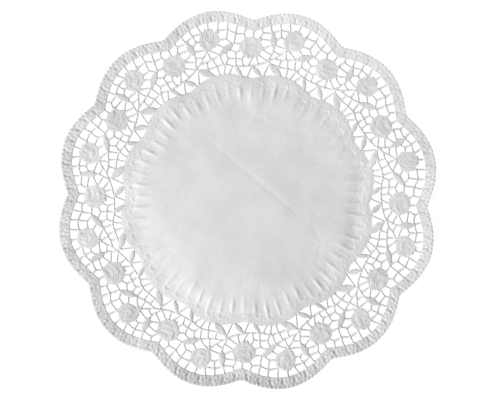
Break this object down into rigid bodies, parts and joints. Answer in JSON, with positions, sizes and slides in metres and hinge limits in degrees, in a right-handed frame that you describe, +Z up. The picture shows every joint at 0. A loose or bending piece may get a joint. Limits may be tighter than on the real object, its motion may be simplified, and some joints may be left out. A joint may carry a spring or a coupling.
{
  "type": "paper doily",
  "caption": "Round paper doily with a scalloped, beaded edge, a die-cut net of roses, leaves and a winding vine, and a plain middle inside a fluted ring.",
  "frame": {"origin": "middle of the sheet, on its underside", "axes": "+Z up, out of the sheet's embossed face; +X through the notch between two scallops"},
  "size_m": [0.2928, 0.2928, 0.0019],
  "materials": {
    "paper": "matt white embossing paper"
  },
  "bodies": {
    "root": {"doily": "paper"}
  },
  "joints": []
}
